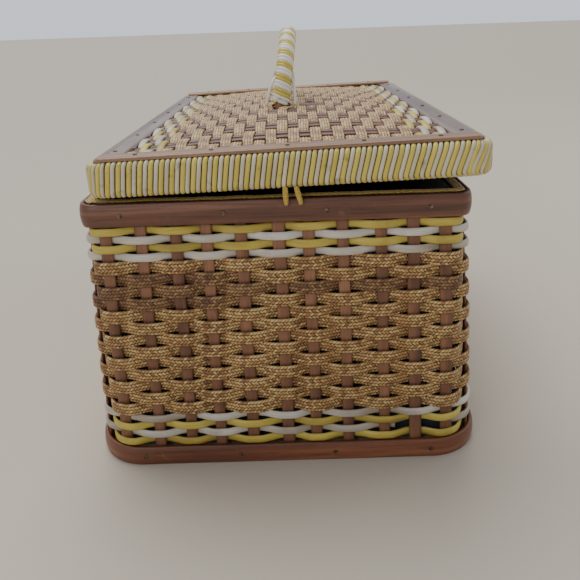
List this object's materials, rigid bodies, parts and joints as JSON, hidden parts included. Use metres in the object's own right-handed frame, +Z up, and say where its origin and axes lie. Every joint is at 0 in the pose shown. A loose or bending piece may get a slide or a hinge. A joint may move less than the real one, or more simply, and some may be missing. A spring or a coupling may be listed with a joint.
{
  "type": "sewing basket",
  "caption": "Woven cane and straw sewing basket with a domed hinged lid, two-colour cord-wrapped lid rim, and an arched carrying handle tied to the lid.",
  "frame": {"origin": "centre of the base board's underside, on the plane the basket stands on", "axes": "+X along the short end, away from the hinge; +Y along the length; +Z up"},
  "size_m": [0.2544, 0.3864, 0.2715],
  "materials": {
    "board": "raw plywood",
    "band_wood": "stained and varnished",
    "nail_steel": "dull",
    "stake_cane": "stained half-round cane",
    "straw_braid": "plaited straw",
    "yellow_cane": "dyed cane",
    "white_cane": "bleached cane",
    "lining_cloth": "dark printed cotton",
    "gimp": "woven gimp braid",
    "wire": "dull",
    "hoop_wood": "bent strip",
    "rim_cord": "yellow and white coated cord",
    "strip_cane": "flat varnished cane",
    "white_cord": "coated cord",
    "handle_cane": "bent round cane",
    "handle_wrap": "yellow and white flat strand"
  },
  "bodies": {
    "basket": {"base_board": "board", "bottom_band": "band_wood", "bottom_band_nails": "nail_steel", "top_band_outer": "band_wood", "top_band_inner": "band_wood", "top_band_nails": "nail_steel", "stakes_near_end": "stake_cane", "stakes_far_end": "stake_cane", "stakes_left_side": "stake_cane", "stakes_right_side": "stake_cane", "weaver_01_yellow": "yellow_cane", "weaver_02_white": "white_cane", "weaver_03_yellow": "yellow_cane", "weaver_04_white": "white_cane", "weaver_05_braid": "straw_braid", "weaver_06_braid": "straw_braid", "weaver_07_braid": "straw_braid", "weaver_08_braid": "straw_braid", "weaver_09_braid": "straw_braid", "weaver_10_braid": "straw_braid", "weaver_11_braid": "straw_braid", "weaver_12_braid": "straw_braid", "weaver_13_braid": "straw_braid", "weaver_14_braid": "straw_braid", "weaver_15_braid": "straw_braid", "weaver_16_braid": "straw_braid", "weaver_17_braid": "straw_braid", "weaver_18_white": "white_cane", "weaver_19_yellow": "yellow_cane", "weaver_20_white": "white_cane", "weaver_21_yellow": "yellow_cane", "lining_walls": "lining_cloth", "lining_floor": "lining_cloth", "lining_trim": "gimp", "hinge_staples": "wire"},
    "lid": {"hinge_eyes": "wire", "lid_rim_hoop": "hoop_wood", "lid_rim_wrap": "rim_cord", "lid_strip_near": "strip_cane", "lid_strip_far": "strip_cane", "lid_strip_left": "strip_cane", "lid_strip_right": "strip_cane", "lid_strip_nails": "nail_steel", "lid_stakes": "stake_cane", "lid_braids": "straw_braid", "lid_canes_yellow": "yellow_cane", "lid_canes_white": "white_cane", "lid_lining": "lining_cloth", "lid_trim": "gimp", "trim_tails": "gimp", "lashing_near": "white_cord", "lashing_far": "white_cord"},
    "handle": {"handle_core": "handle_cane", "handle_wrap": "handle_wrap"}
  },
  "joints": [
    {"name": "lid_hinge", "type": "hinge", "parent": "basket", "child": "lid", "pos_m": [-0.1159, 0, 0.177], "axis": [0, -1, 0], "range_deg": [0, 110]},
    {"name": "handle_lean", "type": "hinge", "parent": "lid", "child": "handle", "pos_m": [0.00146, -0.0008, 0.21449], "axis": [0, -1, 0], "range_deg": [0, 18], "deforming": ["lashing_near", "lashing_far"]}
  ]
}
